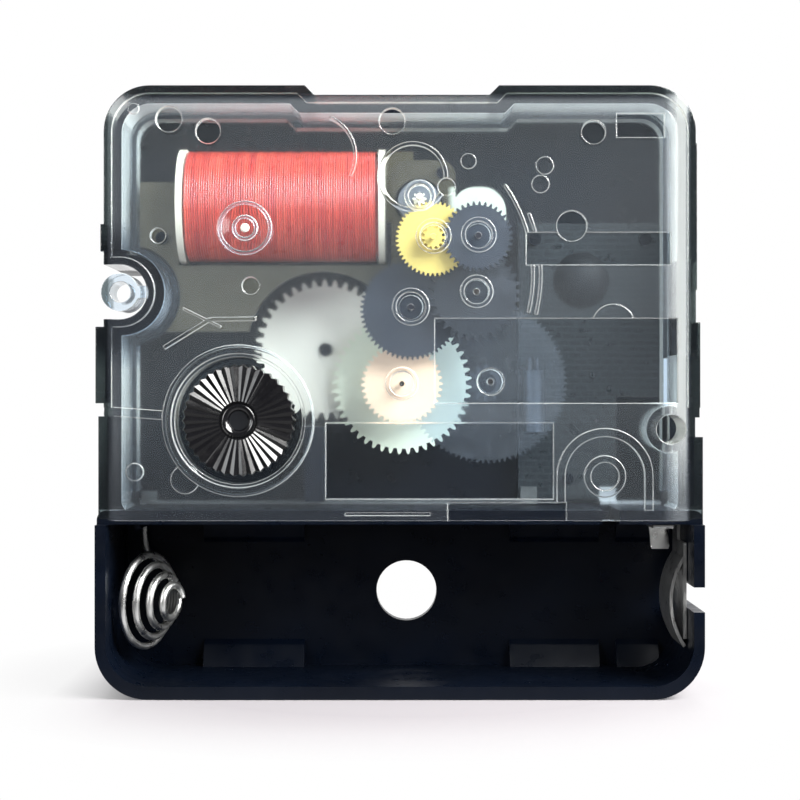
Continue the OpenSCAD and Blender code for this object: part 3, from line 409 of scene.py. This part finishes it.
def painted_band_glow(look, across, up):
    """Painted glow in a band on the face along the rim, which ends at the outline."""
    return look.most(
        look.times(look.rise(across, BAND_RIGHT), look.fall(across, BAND_RIGHT_END)),
        look.times(look.rise(up, BAND_TOP, BAND_TOP_SHARE), look.fall(up, BAND_TOP_END)),
        look.times(look.fall(across, BAND_LEFT, BAND_LEFT_SHARE),
                   look.rise(across, BAND_LEFT_END)))


def cover_shares(look, across, up):
    """What is left of the painted glow of rim and band, and of the walls, by the lug and towards
    the low edge.
    """
    beside_lug = look.math("ABSOLUTE", look.math("SUBTRACT", up, LUG_MID * MM))
    lug = look.times(look.fall(across, LUG_RIGHT), look.fall(beside_lug, LUG_HALF))
    low_edge = look.times(look.fall(up, LOW_EDGE), LOW_EDGE_SHARE)
    return look.rest(lug), look.rest(low_edge)


def cover_tint(look, across, up, white):
    """Smoke, pale where light scatters and where glow is painted, with painted shade at the outline
    of the cover.
    """
    smoke = look.ramp(look.noise(0.09, 4), (0.3, (0.75, 0.85, 0.94)), (0.7, (0.80, 0.89, 0.97)))
    # Pale where the walls scatter light, and where glow and highlights are painted
    milk_and_glow = look.math("MINIMUM", look.times(white, MILK_AND_GLOW_GAIN), 1.0)
    # Painted shade along the outline of the cover
    painted_shade = look.most(look.rise(across, OUTLINE_SHADE_RIGHT), look.fall(across, OUTLINE_SHADE_LEFT),
                     look.rise(up, OUTLINE_SHADE_TOP))
    return look.mix(look.times(painted_shade, OUTLINE_SHADE_SHARE), look.mix(milk_and_glow, smoke, MILK_AND_GLOW), OUTLINE_PAINTED_SHADE)


def smoky_cover():
    """Clear smoky plastic: eroded on its face and clearer where it is sunk, with a painted glow at
    its rim, painted highlights on its edges and painted shade at its outline.
    """
    look = new_look("smoky_cover")
    across, depth, up = (look.axis(look.places["Object"], name) for name in "XYZ")
    face = look.fall(depth, FACE_DEPTH)
    facing = look.math("ABSOLUTE", look.axis(look.places["Normal"], "Y"))
    side = look.spread(facing, 1.0, 0.0, *WALL_SLOPE)
    rounded = look.node("ShaderNodeBevel", "Normal", {"Radius": EDGE_RADIUS * MM}, samples=8)
    edge = painted_edge_highlights(look, across, depth, up, rounded)
    shares = cover_shares(look, across, up)
    # The rim and the band carry a painted glow and the edges painted highlights; the walls scatter
    # evenly
    glow = look.math("ADD", look.times(painted_rim_glow(look, across, up), RIM_PAINTED_GLOW), VEIL_SIDE)
    white = look.most(look.times(glow, *shares, side),
                      look.times(painted_band_glow(look, across, up), *shares, face, BAND_PAINTED_GLOW),
                      look.times(edge, EDGE_PAINTED_HIGHLIGHT))
    eroded = look.times(face, look.spread(look.noise(2.2, 3), 0.8, 1.2))
    veil = look.math("ADD", look.times(eroded, VEIL_FACE), look.math("ADD", white, VEIL_ALL))
    gloss = look.math("ADD", look.times(face, FACE_ROUGHNESS),
                      look.spread(look.noise(0.4, 4), 0.03, 0.06))
    grain = look.bump(look.noise(2.6, 3), 0.004, 0.5, Normal=rounded)
    wave = look.bump(look.noise(0.22, 2), 0.03, 0.3, Normal=grain)
    body = look.principled(Base_Color=cover_tint(look, across, up, white), Roughness=gloss,
                           Normal=wave, IOR=1.46, Transmission_Weight=look.rest(veil),
                           Specular_IOR_Level=0.35)
    return look.done(look.let_light_in(body, (0.97, 0.98, 0.98, 1)))


def stator_sheet():
    """Sheet of the stator: dull rolled steel, with a pale end beyond the rotor that is not metal.
    """
    look = new_look("stator_sheet")
    marks = look.noise(4.0, 3, stretch=(0.2, 1, 1))
    steel = look.ramp(look.noise(0.3, 5), (0.3, (0.07, 0.062, 0.045)), (0.7, (0.092, 0.08, 0.058)))
    pale_end = look.ramp(look.noise(0.6, 4), (0.3, (0.50, 0.54, 0.44)), (0.7, (0.60, 0.64, 0.54)))
    end = look.times(look.rise(look.axis(look.places["Object"], "X"), PALE_END_LEFT),
                     look.fall(look.axis(look.places["Object"], "Z"), PALE_END_TOP))
    return look.done(look.principled(Base_Color=look.mix(end, steel, pale_end),
                                     Roughness=look.spread(marks, 0.42, 0.6),
                                     Normal=look.bump(marks, 0.004, 0.5),
                                     Metallic=look.rest(end)))


def clear_wheel():
    """Clear smoky plastic of a wheel, with flow marks and a faint haze."""
    look = new_look("clear_wheel")
    tint = look.ramp(look.noise(0.15, 4), (0.3, (0.76, 0.81, 0.87)), (0.7, (0.84, 0.88, 0.93)))
    clearness = look.spread(look.noise(0.8, 4), 0.965, 0.985)
    gloss = look.spread(look.noise(0.4, 4), 0.10, 0.14)
    normal = look.bump(look.noise(0.5, 3), 0.02, 0.4)
    body = look.principled(Base_Color=tint, Roughness=gloss, Normal=normal, IOR=1.3,
                           Transmission_Weight=clearness, Specular_IOR_Level=0.2)
    return look.done(look.let_light_in(body, (0.80, 0.83, 0.88, 1)))


def enamelled_wire():
    """Red enamelled copper wire, each turn with its own tone."""
    look = new_look("red_wire")
    turn = look.noise(2.6, 2, stretch=(1, 0.05, 0.05))
    base = look.ramp(turn, (0.3, (0.46, 0.018, 0.014)), (0.7, (0.70, 0.085, 0.045)))
    gloss = look.spread(look.noise(1.2, 3), 0.24, 0.4)
    normal = look.bump(turn, 0.01, 0.3)
    return look.done(look.principled(Base_Color=base, Roughness=gloss, Normal=normal,
                                     Coat_Weight=0.8, Coat_Roughness=0.3))


def board_laminate():
    """Black solder mask with fine tracks under it."""
    look = new_look("board")
    upright = look.node("ShaderNodeMapping", "Vector",
                        {"Vector": look.places["Object"], "Rotation": (math.pi / 2, 0, 0)})
    tracks = look.node("ShaderNodeTexBrick", "Color",
                       {"Vector": upright, "Scale": 400, "Mortar Size": 0.05,
                        "Color1": (0.006, 0.008, 0.010, 1), "Color2": (0.008, 0.011, 0.013, 1),
                        "Mortar": (0.016, 0.020, 0.022, 1)})
    gloss = look.spread(look.noise(1.0, 4), 0.25, 0.42)
    normal = look.bump(tracks.node.outputs["Fac"], 0.03, 0.6)
    return look.done(look.principled(Base_Color=tracks, Roughness=gloss, Normal=normal))


def stage_material():
    """Pale floor that keeps the object's shadow close by and shows white further out."""
    look = new_look("stage")
    place, rays = look.places["Object"], look.rays()
    glossy = rays["Is Glossy Ray"]
    seen = look.most(rays["Is Camera Ray"], glossy, rays["Is Transmission Ray"])
    away = look.node("ShaderNodeVectorMath", "Value", {0: place}, operation="LENGTH")
    beside = look.math("ABSOLUTE", look.axis(place, "X"))
    near = look.times(look.spread(away, 1.0, 0.0, *SHADOW_REACH),
                      look.spread(beside, 1.0, SHADOW_BESIDE, *SHADOW_SIDES), look.rest(glossy))
    # In gloss the floor towards the viewer is as dark as the room there
    front = look.spread(look.axis(place, "Y"), ROOM, 1.0, *ROOM_FLOOR)
    strength = look.rest(look.times(glossy, look.rest(front)))
    matt = look.node("ShaderNodeBsdfDiffuse", "BSDF", {"Color": FLOOR_COLOUR})
    white = look.node("ShaderNodeEmission", "Emission", {"Strength": strength})
    return look.done(look.node("ShaderNodeMixShader", "Shader",
                               {"Fac": look.times(seen, look.rest(near)), 1: matt, 2: white}))


def room_world():
    """White to the camera and through clear plastic, and dim on matt surfaces. In gloss the room
    is darker on the viewer's side, as the photographed movement shows it."""
    look = Look(bpy.data.worlds.new("room"), "ShaderNodeOutputWorld")
    rays = look.rays()
    seen = look.most(rays["Is Camera Ray"], rays["Is Transmission Ray"])
    gloss = look.spread(look.axis(look.places["Generated"], "Y"), ROOM, 1.0, *ROOM_SIDE)
    level = look.between(seen, look.between(rays["Is Glossy Ray"], AMBIENT, gloss), 1.0)
    return look.done(look.node("ShaderNodeBackground", "Background",
                               {"Color": (1, 1, 1, 1), "Strength": level}))


# Meshes


def new_object(name, vertices, faces, material, smooth=True):
    mesh = bpy.data.meshes.new(name)
    mesh.from_pydata([Vector(v) for v in vertices], [], faces)
    mesh.update()
    if smooth:
        mesh.polygons.foreach_set("use_smooth", [True] * len(mesh.polygons))
    obj = bpy.data.objects.new(name, mesh)
    scene.collection.objects.link(obj)
    obj.data.materials.append(material)
    return obj


def bench(u, v, w):
    """A place seen from the back, in millimetres: right, up and towards the viewer."""
    return Vector((u, -w, v)) * MM


def capped_rings(rows, sides):
    """Faces between neighbouring rings of vertices, with a cap at each end."""
    faces = []
    for i in range(rows - 1):
        for k in range(sides):
            a, b = i * sides + k, i * sides + (k + 1) % sides
            faces.append((a, b, b + sides, a + sides))
    return faces + [tuple(reversed(range(sides))), tuple(range((rows - 1) * sides, rows * sides))]


def looped_rings(rows, sides, start=0):
    """Faces between rings of vertices where the last ring joins the first one."""
    faces = []
    for i in range(rows):
        for k in range(sides):
            j, m = (i + 1) % rows, (k + 1) % sides
            faces.append((start + i * sides + k, start + i * sides + m,
                          start + j * sides + m, start + j * sides + k))
    return faces


def sweep(path, radius, sides):
    """Vertices and faces of a round wire along a path, closed at both ends."""
    count = len(path)
    tangents = [(path[min(i + 1, count - 1)] - path[max(i - 1, 0)]).normalized()
                for i in range(count)]
    side = tangents[0].orthogonal().normalized()
    vertices = []
    for point, tangent in zip(path, tangents):
        side = (side - tangent * side.dot(tangent)).normalized()
        other = tangent.cross(side)
        for k in range(sides):
            angle = 2 * math.pi * k / sides
            vertices.append(point + radius * (math.cos(angle) * side + math.sin(angle) * other))
    return vertices, capped_rings(count, sides)


def smooth_path(points, steps):
    """A smooth curve through the points."""
    out = []
    for i in range(len(points) - 1):
        p0, p1, p2, p3 = (points[max(0, min(len(points) - 1, i + k))] for k in (-1, 0, 1, 2))
        for n in range(steps):
            t = n / steps
            out.append(0.5 * (2 * p1 + (p2 - p0) * t + (2 * p0 - 5 * p1 + 4 * p2 - p3) * t ** 2
                              + (3 * p1 - p0 - 3 * p2 + p3) * t ** 3))
    return out + [points[-1]]


def battery_spring(material):
    """Conical wire spring with its straight tail through the bay wall."""
    low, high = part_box("negative_spring")
    base_u = low.x / MM + SPRING_WIRE_R
    tail_w = -high.y / MM + SPRING_WIRE_R
    big_r = SPRING_BIG_D / 2 - SPRING_WIRE_R
    mid_v, mid_w = SPRING_MID_V, tail_w + big_r
    tail_u = base_u + SPRING_TAIL_IN
    lean_out, lean_near = math.cos(SPRING_LEAN), math.sin(SPRING_LEAN)
    room = big_r * lean_near
    lead = [bench(tail_u, v, tail_w) for v in (high.z / MM, *(mid_v + up for up in SPRING_TAIL_UP))]
    for from_u, (right, up, off) in ((tail_u, SPRING_BEND), (base_u + 2 * room, SPRING_BEND_END)):
        lead.append(bench(from_u + right, mid_v + up, tail_w + off))
    coil = []
    for i in range(SPRING_TURNS * SPRING_STEPS + 1):
        t = i / (SPRING_TURNS * SPRING_STEPS)
        r = (SPRING_BIG_D * (1 - t) + SPRING_SMALL_D * t) / 2 - SPRING_WIRE_R
        angle = -math.pi / 2 - 2 * math.pi * i / SPRING_STEPS
        out, near = SPRING_LENGTH * t, r * math.sin(angle)
        coil.append(bench(base_u + room + out * lean_out - near * lean_near,
                          mid_v + r * math.cos(angle),
                          mid_w + out * lean_near + near * lean_out))
    path = smooth_path(lead + coil, 5)
    vertices, faces = sweep(path, SPRING_WIRE_R * MM, 14)
    return new_object("battery_spring_wire", vertices, faces, material)


def coil_turns(material):
    """The outer layer of the winding, as fine turns side by side."""
    low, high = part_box("coil_winding")
    middle = (low + high) / 2
    length = (high.x - low.x) / MM - 2 * COIL_WIRE_D
    turns = int(length / COIL_WIRE_D)
    pitch = length / turns
    path = []
    for i in range(turns * COIL_STEPS + 1):
        turn = i / COIL_STEPS
        angle = 2 * math.pi * turn
        drift = sum(swing * math.sin(turn * rate) for swing, rate in COIL_DRIFT)
        radius = ((COIL_D - COIL_WIRE_D) / 2 - COIL_SUNK + drift * COIL_DRIFT_OUT) * MM
        along = low.x + (COIL_WIRE_D + turn * pitch + drift * COIL_DRIFT_ALONG) * MM
        path.append(Vector((along, middle.y - radius * math.sin(angle),
                            middle.z + radius * math.cos(angle))))
    vertices, faces = sweep(path, COIL_WIRE_D / 2 * MM, 6)
    return new_object("coil_fine_turns", vertices, faces, material)


def threaded_bushing(material):
    """The centre bushing with its thread, its neck in the case and its flange under the floor."""
    low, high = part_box("centre_bushing")
    reach, flange_w = high.y / MM, -low.y / MM
    neck_w = flange_w - BUSHING_FLANGE_T
    rows = int(reach / THREAD_PITCH * THREAD_ROWS)

    def thread(along, a):
        """Radius of the thread so far along and at the angle a; it fades out at both ends."""
        phase = (along / THREAD_PITCH + a / (2 * math.pi)) % 1
        groove = THREAD_DEPTH * (1 - min(1.0, THREAD_CREST * abs(2 * phase - 1)))
        fade = min(1.0, (reach - along) / THREAD_PITCH, along / THREAD_PITCH)
        start = THREAD_DEPTH * max(0.0, 1 - (reach - along) / THREAD_LEAD_IN)
        return BUSHING_R - max(groove * fade, start)

    angles = [2 * math.pi * k / BUSHING_SIDES for k in range(BUSHING_SIDES)]
    rings = [(reach, [BUSHING_BORE_R] * BUSHING_SIDES),
             (reach, [BUSHING_R - THREAD_DEPTH] * BUSHING_SIDES)]
    for i in range(1, rows):
        along = reach * (1 - i / rows)
        rings.append((along, [thread(along, a) for a in angles]))
    for along, r in ((0, BUSHING_R), (0, BUSHING_NECK_R), (-neck_w, BUSHING_NECK_R),
                     (-neck_w, BUSHING_FLANGE_R), (-flange_w, BUSHING_FLANGE_R),
                     (-flange_w, BUSHING_BORE_R)):
        rings.append((along, [r] * BUSHING_SIDES))
    vertices = [Vector((r * math.cos(a), along, r * math.sin(a))) * MM
                for along, radii in rings for r, a in zip(radii, angles)]
    faces = looped_rings(len(rings), BUSHING_SIDES)
    return new_object("threaded_bushing", vertices, faces, material, smooth=False)


def contact_flap(material):
    """The bent end of the contact strip that looks out under the bay's upper wall."""
    last = len(FLAP_LINE) - 1
    vertices, faces = [], []
    for i, (v, w) in enumerate(FLAP_LINE):
        narrower = FLAP_NARROWER if i in (0, last) else 0.0
        left, right = FLAP_LEFT + narrower, FLAP_RIGHT - narrower
        for u, under in ((left, 0), (right, 0), (right, FLAP_THICK), (left, FLAP_THICK)):
            vertices.append(bench(u, v, w - under))
    for i in range(last):
        for k in range(4):
            a, b = 4 * i + k, 4 * i + (k + 1) % 4
            faces.append((a, a + 4, b + 4, b))
    faces += [(0, 1, 2, 3), tuple(4 * last + k for k in (3, 2, 1, 0))]
    obj = new_object("contact_flap", vertices, faces, material, smooth=False)
    edge = obj.modifiers.new("edge", "BEVEL")
    edge.width = FLAP_EDGE * MM
    edge.segments = 2
    return obj


def ridge(inner, outer, rise):
    """Section of a low rounded ridge on the cover: (radius, rise)."""
    into, down = GATE_SHOULDER
    return [(outer, -GATE_SUNK), (outer - into, rise - down), (outer - GATE_CREST_IN, rise),
            (inner + GATE_CREST_IN, rise), (inner + into, rise - down), (inner, -GATE_SUNK)]


def gate_piece(name, sections, material):
    """A piece of the moulding gate: closed sections turned about its middle on the cover."""
    vertices, faces = [], []
    for section in sections:
        faces += looped_rings(len(section), GATE_SIDES, len(vertices))
        for r, rise in section:
            for k in range(GATE_SIDES):
                a = 2 * math.pi * k / GATE_SIDES
                vertices.append(bench(GATE_U + r * math.cos(a), GATE_V + r * math.sin(a),
                                      COVER_FACE + rise))
    return new_object(name, vertices, faces, material)


def ribbed_knob(material):
    """Setting knob: radial ribs with even flanks on its face and down its rim, and a dished hub."""
    low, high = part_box("setting_knob")
    middle = (low + high) / 2
    foot_w, top_w, rim_r = -high.y / MM, -low.y / MM, (high.x - low.x) / 2 / MM
    drop = math.pi / KNOB_RIBS * KNOB_SLOPE
    # Radius of ridge and valley, and level of ridge and valley, from the foot to the hub
    rings = [
        (1.0, 1.0, foot_w, foot_w),
        (rim_r - 0.45, rim_r - 0.45, foot_w, foot_w),
        (rim_r - 0.02, rim_r - 0.32, foot_w + 0.3, foot_w + 0.3),
        (rim_r, rim_r - 0.3, top_w - 0.4, top_w - 0.5),
        (rim_r - 0.05, rim_r - 0.28, top_w - 0.1, top_w - 0.1 - drop * rim_r),
        (rim_r - 0.14, rim_r - 0.33, top_w, top_w - drop * (rim_r - 0.2)),
        (KNOB_HUB_R, KNOB_HUB_R, top_w - 0.12, top_w - 0.12 - drop * KNOB_HUB_R),
    ]
    n = 2 * KNOB_RIBS
    smooth_from = (len(rings) + 1) * n
    rings += [(r, r, top_w - depth, top_w - depth) for r, depth in KNOB_DISH]
    smooth_to = (len(rings) - 1) * n
    vertices = []
    for ridge_r, valley_r, ridge_w, valley_w in rings:
        for k in range(n):
            a = math.pi * k / KNOB_RIBS
            r, w = (valley_r, valley_w) if k % 2 else (ridge_r, ridge_w)
            vertices.append(Vector((middle.x + r * math.cos(a) * MM, -w * MM,
                                    middle.z + r * math.sin(a) * MM)))
    obj = new_object("ribbed_setting_knob", vertices, capped_rings(len(rings), n), material,
                     smooth=False)
    for index, face in enumerate(obj.data.polygons):
        face.use_smooth = smooth_from <= index < smooth_to
    return obj


def backdrop(material):
    """Floor and wall in one sheet, with a soft bend between them."""
    floor_z = cad_low.z - FLOOR_GAP
    bend_at = BACKDROP_AT - BACKDROP_BEND
    profile = [(-FLOOR_HALF, floor_z), (bend_at, floor_z)]
    for i in range(1, BEND_STEPS + 1):
        angle = math.pi / 2 * i / BEND_STEPS
        profile.append((bend_at + BACKDROP_BEND * math.sin(angle),
                        floor_z + BACKDROP_BEND * (1 - math.cos(angle))))
    profile.append((BACKDROP_AT, BACKDROP_TOP))
    vertices = [(x, y, z) for x in (-FLOOR_HALF, FLOOR_HALF) for y, z in profile]
    n = len(profile)
    faces = [(i, n + i, n + i + 1, i + 1) for i in range(n - 1)]
    obj = new_object("backdrop", vertices, faces, material)


def area_light(name, aim, place, size, watts, colour):
    """A rectangular lamp that points from its place to the aim."""
    lamp = bpy.data.lights.new(name, "AREA")
    lamp.shape = "RECTANGLE"
    lamp.size, lamp.size_y = size
    lamp.energy = watts
    lamp.color = colour
    obj = bpy.data.objects.new(name, lamp)
    obj.location = place
    obj.rotation_euler = (aim - Vector(place)).to_track_quat("-Z", "Y").to_euler()
    scene.collection.objects.link(obj)


def light_the_scene():
    scene.world = room_world()
    middle = (cad_low + cad_high) / 2
    for name, lamp in LAMPS.items():
        area_light(name, middle, *lamp)


set_camera()

# One finish for each material slot of the record
FINISH = {
    "black_case": moulded_plastic("black_case", (0.0012, 0.0026, 0.0065), 0.32, 0.25,
                                  grain_mm=0.003, Specular_IOR_Level=0.16),
    "smoky_cover": smoky_cover(),
    "brass": metal("brass", (0.80, 0.58, 0.26), 0.24),
    "cream_plastic": moulded_plastic("cream_plastic", (0.78, 0.72, 0.58), 0.45, 0.05),
    "red_wire": enamelled_wire(),
    "core_steel": metal("core_steel", (0.085, 0.073, 0.045), 0.5, (0.2, 1, 1)),
    "magnet": metal("magnet", (0.24, 0.25, 0.27), 0.4),
    "white_plastic": moulded_plastic("white_plastic", (0.95, 0.90, 0.77), 0.42, 0.03),
    "yellow_plastic": moulded_plastic("yellow_plastic", (0.74, 0.56, 0.14), 0.42, 0.06),
    "grey_plastic": moulded_plastic("grey_plastic", (0.014, 0.018, 0.028), 0.45, 0.1),
    "dark_plastic": moulded_plastic("dark_plastic", (0.010, 0.012, 0.017), 0.45, 0.1),
    "pin_steel": metal("pin_steel", (0.78, 0.79, 0.80), 0.18, (1, 0.1, 1)),
    "pink_plastic": moulded_plastic("pink_plastic", (0.95, 0.68, 0.47), 0.4, 0.04),
    "pale_green_plastic": moulded_plastic("pale_green_plastic", (0.86, 0.90, 0.70), 0.42, 0.04),
    "gloss_black": moulded_plastic("gloss_black", (0.003, 0.003, 0.004), 0.16, 0.2,
                                   grain_mm=0.001, IOR=1.65),
    "black_plastic": moulded_plastic("black_plastic", (0.006, 0.007, 0.009), 0.5, 0.2,
                                     Specular_IOR_Level=0.2),
    "board": board_laminate(),
    "plated_wire": metal("plated_wire", (0.88, 0.88, 0.87), 0.31, grain=0.8),
}

# Nodes that look different from the rest of their slot. The big wheel under the label place is
# clear, and the pale wheel under it shows through it.
OWN_FINISH = {
    "third_wheel": clear_wheel(),
    "stator_plate": stator_sheet(),
    "positive_contact": metal("tin_plate", (0.80, 0.80, 0.79), 0.34, (1, 1, 0.2), Coat_Weight=0.3),
    # Painted shade: the negative strip is made dark where it lies in shade
    "negative_strip": metal("strip_in_painted_shade", (0.16, 0.16, 0.155), 0.5, (1, 1, 0.2)),
    "crystal_can": metal("dull_can", (0.10, 0.105, 0.115), 0.5, (1, 1, 0.2)),
}


def finish_nodes():
    """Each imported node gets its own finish, or the finish of its slot in the record."""
    for part in frame["record"]["subparts"]:
        node = part["node"]
        mesh = NODES[node].data
        mesh.materials.clear()
        mesh.materials.append(OWN_FINISH.get(node, FINISH[part["material_slot"]]))


finish_nodes()
light_the_scene()
backdrop(stage_material())

spring = battery_spring(FINISH["plated_wire"])
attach(spring, "case")
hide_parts("negative_spring")

turns = coil_turns(FINISH["red_wire"])
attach(turns, "case")
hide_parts("coil_outer_turns")

bushing = threaded_bushing(FINISH["brass"])
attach(bushing, "case")
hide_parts("centre_bushing")

flap = contact_flap(FINISH["plated_wire"])
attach(flap, "case")

cup = gate_piece("gate_cup", [ridge(*sizes) for sizes in GATE_RIDGES], FINISH["smoky_cover"])
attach(cup, "case")

# Painted highlight: a white dome in the middle of the gate stands for a glint
dot = gate_piece("gate_dot", [GATE_DOT], FINISH["white_plastic"])
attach(dot, "case")

knob = ribbed_knob(FINISH["gloss_black"])
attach(knob, "setting")
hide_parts("setting_knob")
